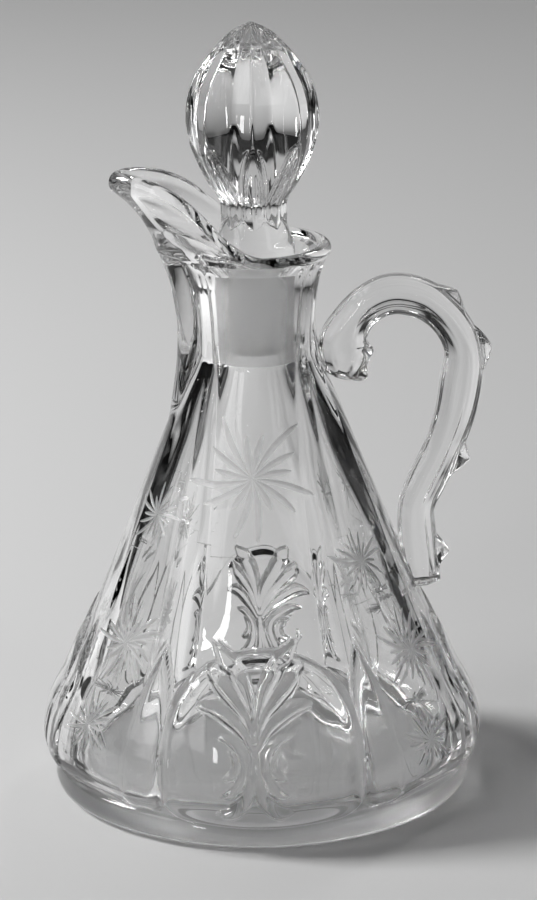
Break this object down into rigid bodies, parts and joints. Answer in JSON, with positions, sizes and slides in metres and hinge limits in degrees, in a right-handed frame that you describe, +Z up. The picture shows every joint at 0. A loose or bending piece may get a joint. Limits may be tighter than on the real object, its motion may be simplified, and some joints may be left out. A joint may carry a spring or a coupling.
{
  "type": "oil cruet",
  "caption": "Clear pressed and cut glass oil cruet with a pinched pouring spout, a thorned scroll handle and a ground glass stopper.",
  "frame": {"origin": "centre of the foot's flat underside, on the surface that the cruet stands on", "axes": "+Z up along the bottle's axis, -X towards the spout, +X towards the handle, -Y the ornamented front panel"},
  "size_m": [0.0998, 0.0972, 0.1708],
  "materials": {
    "clear_glass": "polished, with frosted cut flowers",
    "stopper_glass": "polished bulb and ground plug"
  },
  "bodies": {
    "root": {"bottle": "clear_glass", "stopper": "stopper_glass"}
  },
  "joints": []
}
